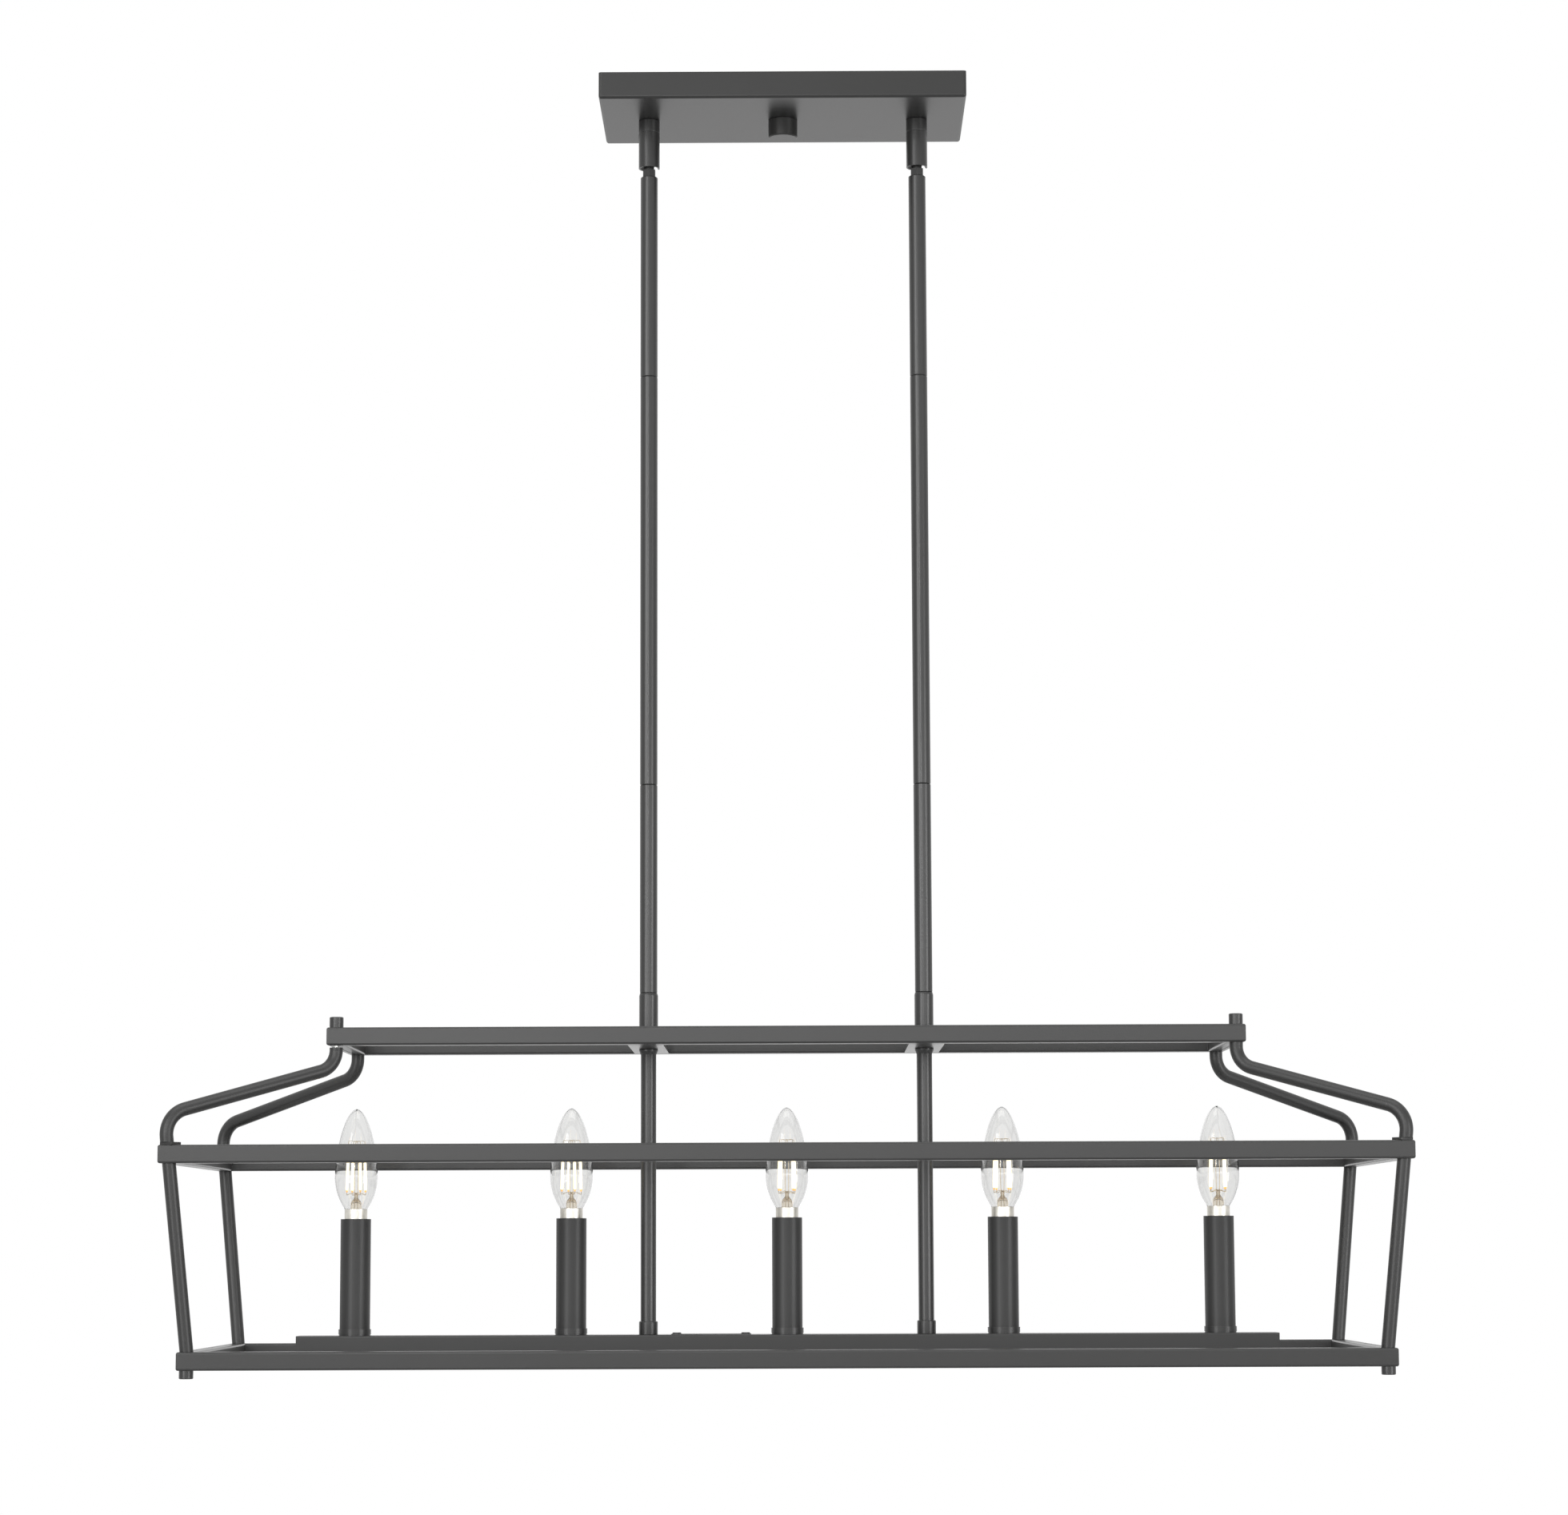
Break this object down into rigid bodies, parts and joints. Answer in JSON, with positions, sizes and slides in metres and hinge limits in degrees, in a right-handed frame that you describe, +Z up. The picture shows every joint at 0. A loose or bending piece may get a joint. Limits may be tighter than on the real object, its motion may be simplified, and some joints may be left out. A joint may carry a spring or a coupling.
{
  "type": "linear island pendant light",
  "caption": "Linear pendant light: candle lamps on a channel inside an open cage of square-tube frames, hung on two rods from a long canopy.",
  "frame": {"origin": "on the ceiling plane, at the middle of the mounting strap's two box-screw slots", "axes": "+Z up to the ceiling, +X along the lamp to the right as pictured, -Y towards the camera"},
  "size_m": [0.865, 0.275, 0.9447],
  "materials": {
    "black_paint": "satin black powder coat",
    "plated_steel": "zinc plated",
    "green_screw": "green coated",
    "wire_cover": "white insulation",
    "socket_plastic": "moulded",
    "bulb_glass": "clear",
    "bulb_cap": "nickel plated",
    "filament": "glowing filament"
  },
  "bodies": {
    "canopy": {"canopy_shell": "black_paint", "mounting_strap": "plated_steel", "canopy_stud": "plated_steel", "canopy_nuts": "plated_steel", "ground_screw": "green_screw", "swivel_collars": "black_paint", "swivel_cups": "black_paint"},
    "knob": {"canopy_knob": "black_paint"},
    "frame": {"swivel_stems": "black_paint", "short_stems": "black_paint", "long_stems": "black_paint", "stem_joiners": "plated_steel", "rod_collars": "black_paint", "top_frame": "black_paint", "cross_plates": "black_paint", "bead_rings": "black_paint", "drop_rods": "black_paint", "rod_couplings": "black_paint", "middle_frame": "black_paint", "bottom_frame": "black_paint", "arm_front_left": "black_paint", "arm_front_right": "black_paint", "arm_rear_left": "black_paint", "arm_rear_right": "black_paint", "post_front_left": "black_paint", "post_front_right": "black_paint", "post_rear_left": "black_paint", "post_rear_right": "black_paint", "corner_washers": "black_paint", "cap_nuts": "black_paint", "frame_studs": "plated_steel", "light_channel": "black_paint", "channel_cover": "black_paint", "splice_cover": "black_paint", "channel_screws": "black_paint", "channel_locknuts": "plated_steel", "channel_wiring": "wire_cover", "candle_cups": "black_paint", "socket_nipples": "plated_steel", "candle_sockets": "socket_plastic"},
    "sleeve_1": {"sleeve_1": "black_paint"},
    "bulb_1": {"bulb_glass_1": "bulb_glass", "bulb_base_1": "bulb_cap", "bulb_filament_1": "filament"},
    "sleeve_2": {"sleeve_2": "black_paint"},
    "bulb_2": {"bulb_glass_2": "bulb_glass", "bulb_base_2": "bulb_cap", "bulb_filament_2": "filament"},
    "sleeve_3": {"sleeve_3": "black_paint"},
    "bulb_3": {"bulb_glass_3": "bulb_glass", "bulb_base_3": "bulb_cap", "bulb_filament_3": "filament"},
    "sleeve_4": {"sleeve_4": "black_paint"},
    "bulb_4": {"bulb_glass_4": "bulb_glass", "bulb_base_4": "bulb_cap", "bulb_filament_4": "filament"},
    "sleeve_5": {"sleeve_5": "black_paint"},
    "bulb_5": {"bulb_glass_5": "bulb_glass", "bulb_base_5": "bulb_cap", "bulb_filament_5": "filament"}
  },
  "joints": [
    {"name": "frame_swing", "type": "hinge", "parent": "canopy", "child": "frame", "pos_m": [0, 0, -0.0503], "axis": [1, 0, 0], "range_deg": [-10, 10]},
    {"name": "knob_turn", "type": "hinge", "parent": "canopy", "child": "knob", "pos_m": [0, 0, -0.0267], "axis": [0, 0, 1], "continuous": true},
    {"name": "sleeve_1_lift", "type": "slide", "parent": "frame", "child": "sleeve_1", "axis": [0, 0, 1], "range_m": [0, 0.008]},
    {"name": "sleeve_2_lift", "type": "slide", "parent": "frame", "child": "sleeve_2", "axis": [0, 0, 1], "range_m": [0, 0.008]},
    {"name": "sleeve_3_lift", "type": "slide", "parent": "frame", "child": "sleeve_3", "axis": [0, 0, 1], "range_m": [0, 0.008]},
    {"name": "sleeve_4_lift", "type": "slide", "parent": "frame", "child": "sleeve_4", "axis": [0, 0, 1], "range_m": [0, 0.008]},
    {"name": "sleeve_5_lift", "type": "slide", "parent": "frame", "child": "sleeve_5", "axis": [0, 0, 1], "range_m": [0, 0.008]},
    {"name": "bulb_1_out", "type": "slide", "parent": "frame", "child": "bulb_1", "axis": [0, 0, 1], "range_m": [0, 0.03]},
    {"name": "bulb_2_out", "type": "slide", "parent": "frame", "child": "bulb_2", "axis": [0, 0, 1], "range_m": [0, 0.03]},
    {"name": "bulb_3_out", "type": "slide", "parent": "frame", "child": "bulb_3", "axis": [0, 0, 1], "range_m": [0, 0.03]},
    {"name": "bulb_4_out", "type": "slide", "parent": "frame", "child": "bulb_4", "axis": [0, 0, 1], "range_m": [0, 0.03]},
    {"name": "bulb_5_out", "type": "slide", "parent": "frame", "child": "bulb_5", "axis": [0, 0, 1], "range_m": [0, 0.03]}
  ]
}
